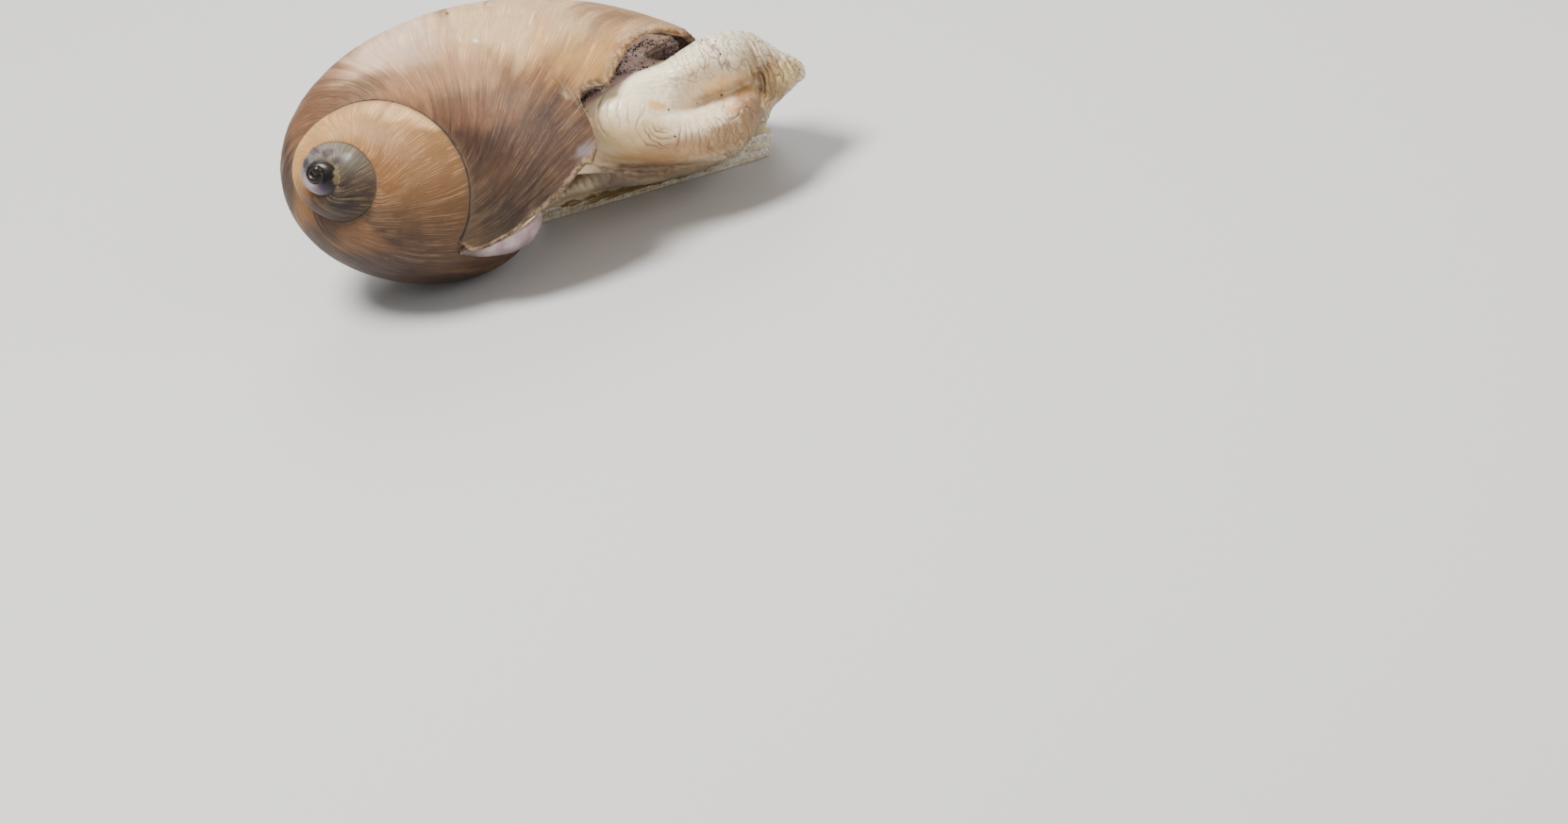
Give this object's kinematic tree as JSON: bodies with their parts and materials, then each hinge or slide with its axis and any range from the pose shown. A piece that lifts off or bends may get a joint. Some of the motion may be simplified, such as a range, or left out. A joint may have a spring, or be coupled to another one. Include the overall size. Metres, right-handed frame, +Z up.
{
  "type": "moon snail",
  "caption": "Life-size model of a globular moon snail lying at rest, its thick cream foot folded and drawn half into the wide aperture beside a thin horny operculum.",
  "frame": {"origin": "centre of the animal's bounding box, on the floor that it lies on", "axes": "+X from the spire towards the tip of the foot, +Y away from the side that the spire faces, +Z up"},
  "size_m": [0.1012, 0.0644, 0.0484],
  "materials": {
    "shell": "satin, fine growth lines",
    "spire": "satin, worn at the apex",
    "callus": "glossy",
    "operculum": "flaky, thin horn",
    "mantle": "moist, sandy",
    "foot": "moist, wrinkled"
  },
  "bodies": {
    "root": {"shell_body_whorl": "shell", "shell_spire": "spire", "shell_callus": "callus", "operculum": "operculum", "mantle_edge": "mantle", "foot_column": "foot", "foot_mesopodium": "foot", "foot_propodium": "foot", "foot_metapodium": "foot", "foot_sole_folds": "foot", "foot_opercular_lobe": "foot"}
  },
  "joints": []
}
